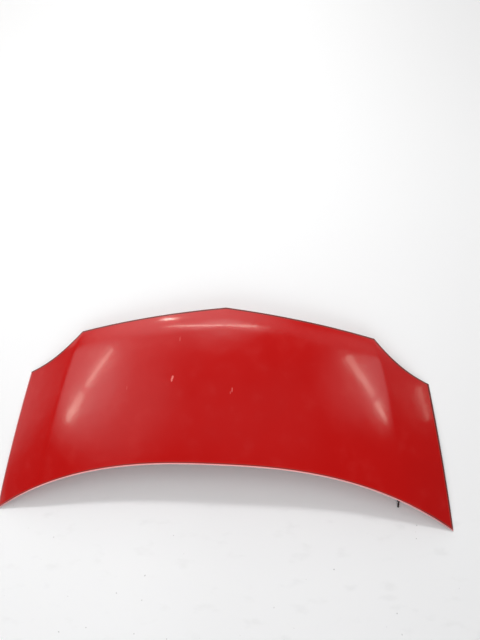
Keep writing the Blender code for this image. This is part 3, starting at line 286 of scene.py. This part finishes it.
class PanelShape:
    """The panel's outline in plan and the height of its skin, worked out from the form's sizes."""

    def __init__(self, form):
        self.form = form
        self.half_width = form.rear_width / 2
        self.tilt = 0.0
        self.lift = 0.0
        outer = self.hem_foot(form.lamp_outer_x, form.lamp_outer_run)
        rear = self.hem_foot(self.half_width, 0)
        self.tilt = (rear - outer) / form.lamp_outer_run
        self.lift = -rear

    def rear_run(self, x):
        return self.form.rear_bow * (1 - abs(x / self.half_width) ** self.form.rear_bow_power)

    def front_run(self, x):
        form = self.form
        share = abs(x) / form.lamp_inner_x
        bow = 4 * form.front_bow * share * max(0.0, 1 - share)
        return form.length + (form.lamp_inner_run - form.length) * share + bow

    def lamp_point(self, share):
        form = self.form
        inner = Vector((form.lamp_inner_x, form.lamp_inner_run))
        outer = Vector((form.lamp_outer_x, form.lamp_outer_run))
        inward = Vector((outer.y - inner.y, inner.x - outer.x)).normalized()
        return inner.lerp(outer, share) + inward * (4 * form.lamp_hollow * share * (1 - share))

    def column_ends(self, column):
        form = self.form
        if column <= INNER_COLUMNS:
            share = 1 - (1 - column / INNER_COLUMNS) ** COLUMN_CROWDING
            x, front_x = form.crease_rear_x * share, form.lamp_inner_x * share
            return Vector((x, self.rear_run(x))), Vector((front_x, self.front_run(front_x)))
        share = (column - INNER_COLUMNS) / OUTER_COLUMNS
        x = form.crease_rear_x + (self.half_width - form.crease_rear_x) * share
        return Vector((x, self.rear_run(x))), self.lamp_point(share)

    def edge_lean(self, column, end):
        """Cosine of the angle between the rear (0) or front (1) edge and the X axis."""
        step = 0.25
        before, after = self.column_ends(column - step)[end], self.column_ends(column + step)[end]
        return (after.x - before.x) / (after - before).length

    def station(self, column, row, inset):
        """Plan point of a grid station when the outline is moved in by inset."""
        if column > INNER_COLUMNS:
            rear, lamp = self.column_ends(COLUMNS)
            slant = math.sin((lamp - rear).angle(self.column_ends(COLUMNS - 1)[0] - rear))
            width = self.half_width - self.form.crease_rear_x
            shrink = inset / (slant * width) * self.edge_lean(COLUMNS, 0)
            column = INNER_COLUMNS + (column - INNER_COLUMNS) * (1 - shrink)
        rear, front = self.column_ends(column)
        length = (front - rear).length
        rear_share = inset / (self.edge_lean(column, 0) * length)
        front_share = inset / (self.edge_lean(column, 1) * length)
        share = 1 - (1 - row / ROWS) ** ROW_CROWDING
        return rear.lerp(front, rear_share + (1 - rear_share - front_share) * share)

    def height(self, x, run):
        form = self.form
        reach = abs(x) / self.half_width
        square = form.crown_squareness
        crown = form.crown_rise * ((1 - square) * reach**2 + square * reach**4)
        arch = (run - form.arch_top_run) ** 2 / (2 * form.arch_radius)
        nose = max(0.0, 1 - (self.front_run(x) - run) / form.nose_band)
        start = self.rear_run(form.crease_rear_x)
        along = (run - start) / (form.lamp_inner_run - start)
        line = form.crease_rear_x + (form.lamp_inner_x - form.crease_rear_x) * along
        beyond = min(soft_ramp(abs(x) - line, form.crease_softness), form.shoulder_width)
        slope = form.crease_slope * (form.crease_fade + (1 - form.crease_fade) * min(max(along, 0.0), 1.0))
        shoulder = slope * beyond * (1 - beyond / (2 * form.shoulder_width))
        return -crown - arch - form.nose_drop * nose**2 - shoulder + self.tilt * run + self.lift

    def normal(self, x, run):
        step = 0.001
        across = (self.height(x + step, run) - self.height(x - step, run)) / (2 * step)
        along = (self.height(x, run + step) - self.height(x, run - step)) / (2 * step)
        return Vector((-across, -along, 1)).normalized()

    def hem_foot(self, x, run):
        return self.height(x, run) - self.form.hem_height * self.normal(x, run).z

    def place(self, plan, height):
        return Vector((plan[0], plan[1] - self.form.middle_run, height))

    def on_skin(self, column, row, inset):
        plan = self.station(column, row, inset)
        return self.place(plan, self.height(*plan)), self.normal(*plan)


class EdgeSection:
    """Frame across the panel's edge at one rim station."""

    def __init__(self, shape, column, row):
        self.edge, self.normal = shape.on_skin(column, row, 0.0)
        flange = shape.on_skin(column, row, shape.form.flange_end)[0]
        self.inward = (flange - self.edge) / shape.form.flange_end

    def point(self, inset, drop):
        return self.edge + self.inward * inset - self.normal * drop


# Steps of modelling


def select_only(*items):
    bpy.ops.object.select_all(action="DESELECT")
    for item in items:
        item.select_set(True)
        bpy.context.view_layer.objects.active = item


def apply_modifier(item, kind, **settings):
    select_only(item)
    modifier = item.modifiers.new(kind.lower(), kind)
    for name, value in settings.items():
        setattr(modifier, name, value)
    bpy.ops.object.modifier_apply(modifier=modifier.name)


def smooth_below(item, degrees):
    select_only(item)
    bpy.ops.object.shade_smooth_by_angle(angle=math.radians(degrees))


def merged_copy(node, degrees):
    """Copy of a CAD node with its triangles joined and its curved faces smooth."""
    select_only(frame["nodes"][node])
    bpy.ops.object.duplicate()
    item = bpy.context.object
    item.name = item.data.name = node + "_finished"
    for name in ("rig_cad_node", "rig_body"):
        del item[name]
    select_only(item)
    bpy.ops.object.mode_set(mode="EDIT")
    bpy.ops.mesh.select_all(action="SELECT")
    bpy.ops.mesh.remove_doubles(threshold=WELD_GAP)
    bpy.ops.object.mode_set(mode="OBJECT")
    smooth_below(item, degrees)
    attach(item, "root")
    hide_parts(node)
    return item


def paint(item, *materials):
    item.data.materials.clear()
    for material in materials:
        item.data.materials.append(material)


# Shader maths


class Wire:
    """A node's output; arithmetic on it adds Math nodes."""

    def __init__(self, board, socket):
        self.board = board
        self.socket = socket

    def maths(self, operation, *values):
        return self.board.node("ShaderNodeMath", {"operation": operation}, dict(enumerate(values)))

    def __add__(self, other):
        return self.maths("ADD", self, other)

    __radd__ = __add__

    def __sub__(self, other):
        return self.maths("SUBTRACT", self, other)

    def __rsub__(self, other):
        return self.maths("SUBTRACT", other, self)

    def __mul__(self, other):
        return self.maths("MULTIPLY", self, other)

    __rmul__ = __mul__

    def band(self, low, high):
        """0 at low and 1 at high, easing between them; low may be the larger one."""
        settings = {"interpolation_type": "SMOOTHSTEP", "clamp": True}
        if low > high:
            return 1 - self.board.node("ShaderNodeMapRange", settings, {"Value": self, 1: high, 2: low})
        return self.board.node("ShaderNodeMapRange", settings, {"Value": self, 1: low, 2: high})


class Board:
    """Node tree of a new material, or of the world, with the shader that it ends in."""

    def __init__(self, name, world=None):
        self.owner = world or bpy.data.materials.new(name)
        self.owner.use_nodes = True
        self.tree = self.owner.node_tree
        self.shader = self.tree.nodes["Background" if world else "Principled BSDF"]

    def node(self, kind, settings=None, inputs=None, output=0):
        made = self.tree.nodes.new(kind)
        for name, value in (settings or {}).items():
            setattr(made, name, value)
        for name, value in (inputs or {}).items():
            self.feed(made.inputs[name], value)
        return Wire(self, made.outputs[output])

    def feed(self, socket, value):
        if isinstance(value, Wire):
            self.tree.links.new(value.socket, socket)
        elif hasattr(value, "__len__") and len(value) == 3 and len(socket.default_value) == 4:
            socket.default_value = (*value, 1.0)
        else:
            socket.default_value = value

    def finish(self, values):
        for name, value in values.items():
            self.feed(self.shader.inputs[name], value)
        return self.owner

    def place(self):
        return self.node("ShaderNodeTexCoord", output="Object")

    def mapped(self, place, centre=(0, 0, 0), turn=0.0, scale=(1, 1, 1)):
        """Place read from a centre, turned about Z and scaled."""
        moved = self.node("ShaderNodeVectorMath", {"operation": "SUBTRACT"}, {0: place, 1: centre})
        return self.node(
            "ShaderNodeMapping", None, {"Vector": moved, "Rotation": (0, 0, turn), "Scale": scale},
        )

    def noise(self, place, scale, detail=3.0):
        return self.node("ShaderNodeTexNoise", None, {"Vector": place, "Scale": scale, "Detail": detail})

    def glow(self, look, azimuth, elevation, reach):
        """1 in one direction and 0 at an angle of reach from it, all in degrees, azimuth from +Y to +X."""
        azimuth, elevation = math.radians(azimuth), math.radians(elevation)
        level = math.cos(elevation)
        ahead = (math.sin(azimuth) * level, math.cos(azimuth) * level, math.sin(elevation))
        near = self.vector_number("DOT_PRODUCT", look, ahead)
        return near.band(math.cos(math.radians(reach)), 1.0)

    def vector_number(self, operation, *values):
        """Number worked out from one or two vectors."""
        inputs = dict(enumerate(values))
        return self.node("ShaderNodeVectorMath", {"operation": operation}, inputs, output="Value")

    def axis(self, place, name):
        return self.node("ShaderNodeSeparateXYZ", None, {0: place}, output=name)

    def mix(self, share, first, second):
        return self.node("ShaderNodeMix", {"data_type": "RGBA"}, {0: share, 6: first, 7: second}, output=2)

    def scaled(self, tint, factor):
        """Colour times a number that varies over the surface."""
        return self.node("ShaderNodeVectorMath", {"operation": "SCALE"}, {0: tint, "Scale": factor})

    def bump(self, height, distance, strength):
        return self.node(
            "ShaderNodeBump", None, {"Height": height, "Distance": distance, "Strength": strength},
        )

    def attribute(self, name):
        return self.node("ShaderNodeAttribute", {"attribute_name": name}, output="Fac")


# Finishes


def outer_paint(look, shape):
    """Old gloss paint: faded in patches, hazed, dusty at the hem and chipped in a few places, with a painted
    shade line along the front and right edges and a painted reflection along the rear and left rim.
    """
    board = Board("outer_red_paint")
    place = board.place()
    patches = board.noise(place, 2.6, 2.0)
    haze = board.noise(place, 17.0, 4.0)
    fine = board.noise(place, 240.0, 2.0)
    edge = board.attribute("from_edge")
    grime = edge.band(*GRIME)
    # pale: where the painted reflection of the bright floor lies, on the rear rim and on the rim of the left
    # side
    left = board.axis(place, "X").band(*REFLECTION_SIDE)
    pale = board.attribute("rear_rim") + board.attribute("side_rim") * left
    # line: painted shade along the front and right edges, where the fold turns away from the light; it ends
    # where the rim has its painted reflection
    line = edge.band(*PAINTED_EDGE_SHADE) * (1.0 - pale * edge.band(*EDGE_SHADE_END_AT_REFLECTION))

    shade = patches * look.fading + haze * 0.05 + 0.91
    red = board.scaled(tuple(look.red), shade)
    red = board.mix(haze.band(0.52, 0.75) * 0.02, red, tuple(look.primer))
    # dust at the hem, then the painted shade line: a little dust colour, and the paint darkened to three
    # tenths
    red = board.mix(grime * 0.04 + line * 0.12, red, tuple(look.dust))
    red = board.scaled(red, 1.0 - line * 0.70)

    chips = 0.0
    ragged = board.noise(place, 300.0, 3.0) * 0.9
    for x, run, half_width, half_length, turn, strength in CHIPS:
        centre = shape.place((x, run), shape.height(x, run))
        spot = board.mapped(place, centre, turn, (1 / half_width, 1 / half_length, 0.5 / half_length))
        chips = (board.vector_number("LENGTH", spot) + ragged).band(1.6, 1.1) * strength + chips
    red = board.mix(chips, red, tuple(look.primer))
    # painted reflection of the bright floor along the rear and left rim
    red = board.mix(pale * edge.band(*PAINTED_REFLECTION_RIM) * 0.95, red, tuple(look.rim))

    strands = board.mapped(place, turn=0.6, scale=(3.0, 90.0, 3.0))
    scratches = board.noise(strands, 9.0, 2.0).band(0.70, 0.76)
    worn = scratches * 0.06 + grime * 0.10 + line * 0.5 + chips * 0.3
    roughness = look.roughness + (haze - 0.5) * 0.16 + worn
    peel = board.noise(place, 45.0, 3.0) * 1.5 + fine * 0.25
    waves = board.noise(place, 14.0, 1.0) * 4.0
    return board.finish({
        "Base Color": red, "Roughness": roughness, "Coat Weight": look.gloss - look.chipping * chips,
        "Coat Roughness": look.gloss_roughness, "Specular IOR Level": 0.5,
        "Normal": board.bump(peel + waves - chips * 2.0, PAINT_GRAIN, 0.6),
    })


def inner_paint(look):
    """Thin satin paint of the hidden side, with specks of dust and faint runs."""
    board = Board("inner_red_paint_finish")
    place = board.place()
    patches = board.noise(place, 5.0, 3.0)
    specks = board.noise(place, 130.0, 3.0)
    runs = board.noise(board.mapped(place, scale=(40.0, 4.0, 40.0)), 1.0, 3.0)
    red = board.scaled(tuple(look.inner_red), 0.82 + patches * 0.30)
    dust = specks.band(0.55, 0.8)
    red = board.mix(dust * 0.25 + runs.band(0.6, 0.8) * 0.12, red, tuple(look.dust))
    return board.finish({
        "Base Color": red, "Roughness": 0.42 + patches * 0.14 + dust * 0.2,
        "Normal": board.bump(specks, INNER_GRAIN, 0.5), "Coat Weight": 0.12,
    })


def zinc_plate(look):
    """Zinc plating with a yellowish cast, duller and browner in places."""
    board = Board("zinc_plate_finish")
    place = board.place()
    cloud = board.noise(place, 55.0, 4.0)
    specks = board.noise(place, 420.0, 3.0)
    dull = tuple(part * share for part, share in zip(look.zinc, DULL_ZINC))
    tint = board.mix(cloud.band(0.35, 0.7), tuple(look.zinc), dull)
    stain = specks.band(0.66, 0.78) * 0.6
    return board.finish({
        "Base Color": board.mix(stain, tint, tuple(look.rust)), "Metallic": 1.0 - stain * 0.8,
        "Roughness": 0.34 + cloud * 0.16 + stain * 0.3, "Normal": board.bump(specks, ZINC_GRAIN, 0.4),
    })


def soft_black(name, tint, dust, roughness, grain):
    """Black rubber or plastic with a fine grain, greyed by dust and handling; mastic too."""
    board = Board(name)
    place = board.place()
    grains = board.noise(place, grain, 2.0)
    bloom = board.noise(place, 70.0, 4.0)
    shade = board.scaled(tuple(tint), 0.75 + bloom * 0.6)
    return board.finish({
        "Base Color": board.mix(bloom.band(0.5, 0.8) * 0.16, shade, tuple(dust)),
        "Roughness": roughness + bloom * 0.15 - 0.05, "Normal": board.bump(grains, RUBBER_GRAIN, 0.6),
    })


def floor_finish(stage):
    """Pale matt floor, with painted shade that greys it to one side and far off and painted light that
    brightens it near by on the left, and with faint scuffs and a few specks near by.
    """
    board = Board("pale_floor")
    place = board.place()
    across, along = board.axis(place, "X"), board.axis(place, "Y")
    near = along.band(*SCUFFED)
    # painted light near by on the left, and painted shade far off and to the right, in the floor's colour
    painted_light = along.band(*BRIGHTER_NEAR) * across.band(*BRIGHTER_LEFT)
    far = along.band(*GREY_FAR) * (0.05 + across.band(*GREY_FAR_LEFT) * 0.10)
    painted_shade = across.band(*GREY_RIGHT) * 0.04 + far
    scuffs = board.noise(board.mapped(place, turn=0.5, scale=(3.0, 6.0, 1.0)), 4.0, 5.0).band(0.56, 0.72)
    specks = board.noise(place, 60.0, 1.0).band(0.76, 0.80)
    shade = 0.965 + painted_light * 0.035 - painted_shade - (scuffs * 0.04 + specks * 0.35) * near
    return board.finish({
        "Base Color": board.scaled(tuple(stage.floor), shade), "Roughness": 0.9, "Specular IOR Level": 0.1,
    })


# Operators


class BONNET_OT_camera(Operator):
    """Set the camera where the photograph was taken from"""

    bl_idname = "bonnet.camera"
    bl_label = "Camera"

    def execute(self, context):
        stage = context.scene.bonnet_stage
        ahead = Vector((
            math.sin(stage.yaw) * math.cos(stage.pitch), math.cos(stage.yaw) * math.cos(stage.pitch),
            -math.sin(stage.pitch),
        ))
        level = Vector((math.cos(stage.yaw), -math.sin(stage.yaw), 0))
        below = ahead.cross(level)
        right = level * math.cos(stage.roll) + below * math.sin(stage.roll)
        down = below * math.cos(stage.roll) - level * math.sin(stage.roll)
        turn = Matrix((right, -down, -ahead)).transposed()
        bpy.ops.object.camera_add(location=stage.camera, rotation=turn.to_euler())
        camera = context.object
        camera.name = "photo_camera"
        camera.data.lens = stage.lens
        context.scene.camera = camera
        return {"FINISHED"}


class BONNET_OT_hose(Operator):
    """Lay the washer hose from its grommet to the floor and finish its connector"""

    bl_idname = "bonnet.hose"
    bl_label = "Washer hose"

    def execute(self, context):
        form, look = context.scene.bonnet_form, context.scene.bonnet_paint
        shape = PanelShape(form)
        rubber = soft_black("hose_rubber", look.rubber, look.dust, roughness=0.50, grain=900.0)
        plastic = soft_black("connector_plastic", look.plastic, look.dust, roughness=0.38, grain=1400.0)
        connector = merged_copy("hose_connector", MOULDED_ANGLE)
        paint(connector, plastic)

        route = [shape.place((x, run), height) for x, run, height in HOSE_ROUTE]
        points = smooth_route(route, HOSE_SPACING)
        curve = bpy.data.curves.new("washer_hose_finished", "CURVE")
        curve.dimensions = "3D"
        curve.bevel_depth = form.hose_diameter / 2
        curve.bevel_resolution = HOSE_ROUNDING
        curve.use_fill_caps = True
        spline = curve.splines.new("POLY")
        spline.points.add(len(points) - 1)
        for target, point in zip(spline.points, points):
            target.co = (*point, 1)
        spline.use_smooth = True
        hose = bpy.data.objects.new("washer_hose_finished", curve)
        context.collection.objects.link(hose)
        curve.materials.append(rubber)
        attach(hose, "root")
        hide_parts("washer_hose")
        return {"FINISHED"}


def smooth_route(points, spacing):
    """Evenly spaced points read from a smooth curve through the route's own points."""
    fine = []
    steps = 16
    for k in range(len(points) - 1):
        a, b = points[k], points[k + 1]
        start_pull = (b - points[max(k - 1, 0)]) / 2
        end_pull = (points[min(k + 2, len(points) - 1)] - a) / 2
        for t in (s / steps for s in range(steps)):
            fine.append(
                a * (2 * t**3 - 3 * t**2 + 1) + start_pull * (t**3 - 2 * t**2 + t)
                + b * (3 * t**2 - 2 * t**3) + end_pull * (t**3 - t**2)
            )
    fine.append(points[-1])
    travelled = [0.0]
    for a, b in zip(fine, fine[1:]):
        travelled.append(travelled[-1] + (b - a).length)
    count = round(travelled[-1] / spacing)
    wanted = [travelled[-1] * k / count for k in range(count + 1)]
    return [fine[min(range(len(fine)), key=lambda n: abs(travelled[n] - w))] for w in wanted]


class BONNET_OT_skin(Operator):
    """Lay out the outer skin on a grid, fold its hem under, mirror it and give it its wall"""

    bl_idname = "bonnet.skin"
    bl_label = "Outer skin"

    def execute(self, context):
        form, look = context.scene.bonnet_form, context.scene.bonnet_paint
        shape = PanelShape(form)
        columns, rows = COLUMNS * form.fineness, ROWS * form.fineness
        bpy.ops.object.select_all(action="DESELECT")
        bpy.ops.mesh.primitive_grid_add(x_subdivisions=columns, y_subdivisions=rows, size=2.0)
        skin = context.object
        skin.name = skin.data.name = "painted_skin"

        rim = [(column, 0) for column in range(columns)] + [(columns, row) for row in range(rows)]
        rim += [(column, rows) for column in range(columns, -1, -1)]
        number_of = {key: k for k, key in enumerate(rim)}
        sections = [EdgeSection(shape, column / form.fineness, row / form.fineness) for column, row in rim]
        mark = skin.data.attributes.new("rim_number", "INT", "POINT")
        for vert in skin.data.vertices:
            column = round((vert.co.x + 1) / 2 * columns)
            row = round((vert.co.y + 1) / 2 * rows)
            mark.data[vert.index].value = number_of.get((column, row), -1)
            vert.co = shape.on_skin(column / form.fineness, row / form.fineness, form.flange_end)[0]

        fold_hem(skin, sections, form)
        mark_edge(skin, sections, columns, rows)
        apply_modifier(skin, "MIRROR", merge_threshold=SEAM_GAP, use_clip=True)
        select_only(skin)
        bpy.ops.object.mode_set(mode="EDIT")
        bpy.ops.mesh.select_all(action="SELECT")
        bpy.ops.mesh.remove_doubles(threshold=WELD_GAP)
        bpy.ops.mesh.normals_make_consistent(inside=False)
        bpy.ops.object.mode_set(mode="OBJECT")
        turn_up(skin)
        keep_in_box(skin)
        paint(skin, outer_paint(look, shape), inner_paint(look))
        apply_modifier(
            skin, "SOLIDIFY", thickness=form.wall, offset=-1, use_even_offset=True,
            use_quality_normals=True, material_offset=1,
        )
        smooth_below(skin, SKIN_ANGLE)
        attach(skin, "root")
        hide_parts("outer_skin")
        return {"FINISHED"}


def fold_hem(skin, sections, form):
    """Extrude the rim outwards and round under, moving each new chain to its place across the edge."""
    radius = form.hem_height / 2
    steps = [(inset, 0.0) for inset in HEM_APPROACH]
    for k in range(form.fold_steps + 1):
        angle = math.pi * k / form.fold_steps
        steps.append((-radius * math.sin(angle), radius * (1 - math.cos(angle))))
    steps.append((form.hem_leg, form.hem_height))
    select_only(skin)
    marks = skin.data.attributes["rim_number"].data
    for vert in skin.data.vertices:
        vert.select = marks[vert.index].value >= 0
    for edge in skin.data.edges:
        edge.select = all(skin.data.vertices[k].select for k in edge.vertices)
    for face in skin.data.polygons:
        face.select = False
    for inset, drop in steps:
        bpy.ops.object.mode_set(mode="EDIT")
        bpy.ops.mesh.select_mode(type="EDGE")
        bpy.ops.mesh.extrude_region_move()
        bpy.ops.object.mode_set(mode="OBJECT")
        marks = skin.data.attributes["rim_number"].data
        for vert in skin.data.vertices:
            if vert.select:
                vert.co = sections[marks[vert.index].value].point(inset, drop)


def mark_edge(skin, sections, columns, rows):
    """Give every vertex its distance from the outline, and mark those nearest its rear and its side."""
    tree = KDTree(len(sections))
    for k, section in enumerate(sections):
        tree.insert(section.edge, k)
    tree.balance()
    nearest = [tree.find(vert.co) for vert in skin.data.vertices]
    values = {
        "from_edge": [away for place, k, away in nearest],
        "rear_rim": [float(k <= columns) for place, k, away in nearest],
        "side_rim": [float(columns < k < columns + rows) for place, k, away in nearest],
    }
    for name, numbers in values.items():
        skin.data.attributes.new(name, "FLOAT", "POINT").data.foreach_set("value", numbers)


def turn_up(skin):
    """Turn the open sheet's faces over if they look down."""
    if sum(face.normal.z * face.area for face in skin.data.polygons) < 0:
        bpy.ops.object.mode_set(mode="EDIT")
        bpy.ops.mesh.select_all(action="SELECT")
        bpy.ops.mesh.flip_normals()
        bpy.ops.object.mode_set(mode="OBJECT")


def keep_in_box(item):
    """Press the finer corners flat where they pass the box of the solids by a hair."""
    low, high = CAD_BOX
    for vert in item.data.vertices:
        vert.co = [min(max(value, least), most) for value, least, most in zip(vert.co, low, high)]


class BONNET_OT_inner(Operator):
    """Finish the pressed inner panel and its reinforcement plates"""

    bl_idname = "bonnet.inner"
    bl_label = "Inner panel"

    def execute(self, context):
        finish = inner_paint(context.scene.bonnet_paint)
        panel = merged_copy("inner_panel", PRESSED_ANGLE)
        paint(panel, finish)
        for node in ("hinge_reinforcement_left", "hinge_reinforcement_right", "latch_reinforcement"):
            paint(frame["nodes"][node], finish)
        return {"FINISHED"}


class BONNET_OT_fixings(Operator):
    """Finish the striker, its bolts and the nuts"""

    bl_idname = "bonnet.fixings"
    bl_label = "Fixings"

    def execute(self, context):
        finish = zinc_plate(context.scene.bonnet_paint)
        for node in sorted(frame["nodes"]):
            if "nut" in node or "striker" in node:
                item = merged_copy(node, TURNED_ANGLE)
                paint(item, finish)
        return {"FINISHED"}


class BONNET_OT_trim(Operator):
    """Finish the seal, stops, plugs, clips, bushes and mastic"""

    bl_idname = "bonnet.trim"
    bl_label = "Rubber and plastic"

    def execute(self, context):
        look = context.scene.bonnet_paint
        rubber = soft_black("trim_rubber", look.rubber, look.dust, roughness=0.62, grain=700.0)
        plastic = soft_black("trim_plastic", look.plastic, look.dust, roughness=0.40, grain=1300.0)
        mastic = soft_black("mastic_finish", look.mastic, look.dust, roughness=0.75, grain=500.0)
        for node in sorted(frame["nodes"]):
            if node.startswith(("front_", "drain_", "hose_grommet", "grommet_")):
                item = merged_copy(node, TURNED_ANGLE)
                paint(item, rubber)
            elif node.startswith(("stay_", "seal_clip")):
                item = merged_copy(node, TURNED_ANGLE)
                paint(item, plastic)
            elif node.startswith("mastic"):
                paint(frame["nodes"][node], mastic)
        return {"FINISHED"}


class BONNET_OT_stage(Operator):
    """Lay the floor and set the lamps and the surrounding light"""

    bl_idname = "bonnet.stage"
    bl_label = "Stage"

    def execute(self, context):
        stage = context.scene.bonnet_stage
        bpy.ops.object.select_all(action="DESELECT")
        bpy.ops.mesh.primitive_plane_add(size=stage.floor_size, location=(0, 0, -stage.floor_gap))
        floor = context.object
        floor.name = "floor"
        paint(floor, floor_finish(stage))

        for name, start, end, width, brightness in LAMPS:
            add_lamp(name, Vector(start), Vector(end), width, brightness)

        world = context.scene.world or bpy.data.worlds.new("World")
        context.scene.world = world
        board = Board("World", world)
        look = board.node("ShaderNodeTexCoord", output="Generated")
        low = board.axis(look, "Z").band(*HORIZON_BAND)
        light = stage.zenith + low * (stage.horizon - stage.zenith)
        for azimuth, elevation, reach, strength in GLOWS:
            light = light + board.glow(look, azimuth, elevation, reach) * strength
        board.finish({"Color": (1.0, 1.0, 1.0), "Strength": light})
        context.scene.view_settings.view_transform = "Standard"
        return {"FINISHED"}


def add_lamp(name, start, end, width, brightness):
    """Flat lamp from start to end that faces the middle of the panel."""
    middle, along = (start + end) / 2, end - start
    back = middle - LAMP_TARGET
    side = back.cross(along).normalized()
    turn = Matrix((along.normalized(), side, along.cross(side).normalized())).transposed()
    bpy.ops.object.light_add(type="AREA", location=middle, rotation=turn.to_euler())
    lamp = bpy.context.object
    lamp.name = name
    lamp.data.shape = "RECTANGLE"
    lamp.data.size, lamp.data.size_y = along.length, width
    lamp.data.energy = brightness * along.length * width * math.pi
    lamp.visible_glossy = name not in UNSEEN_LAMPS
    if lamp.visible_glossy:
        lamp.data.color = WARM


class BONNET_PT_panel(Panel):
    bl_label = "Bonnet"
    bl_idname = "BONNET_PT_panel"
    bl_space_type = "VIEW_3D"
    bl_region_type = "UI"
    bl_category = "Bonnet"

    def draw(self, context):
        for step in STEPS:
            self.layout.operator(step.bl_idname)
        for group in (context.scene.bonnet_form, context.scene.bonnet_paint, context.scene.bonnet_stage):
            box = self.layout.box()
            for name in group.bl_rna.properties.keys():
                if name not in ("rna_type", "name"):
                    box.prop(group, name)


STEPS = (
    BONNET_OT_camera, BONNET_OT_hose, BONNET_OT_skin, BONNET_OT_inner,
    BONNET_OT_fixings, BONNET_OT_trim, BONNET_OT_stage,
)
GROUPS = {"bonnet_form": BonnetForm, "bonnet_paint": BonnetPaint, "bonnet_stage": BonnetStage}


def register():
    for item in (*GROUPS.values(), *STEPS, BONNET_PT_panel):
        bpy.utils.register_class(item)
    for name, group in GROUPS.items():
        setattr(bpy.types.Scene, name, PointerProperty(type=group))


def unregister():
    for name in GROUPS:
        delattr(bpy.types.Scene, name)
    for item in (BONNET_PT_panel, *reversed(STEPS), *GROUPS.values()):
        bpy.utils.unregister_class(item)


def main():
    register()
    bpy.ops.bonnet.camera()
    bpy.ops.bonnet.hose()
    bpy.ops.bonnet.skin()
    bpy.ops.bonnet.inner()
    bpy.ops.bonnet.fixings()
    bpy.ops.bonnet.trim()
    bpy.ops.bonnet.stage()


if __name__ == "__main__":
    main()
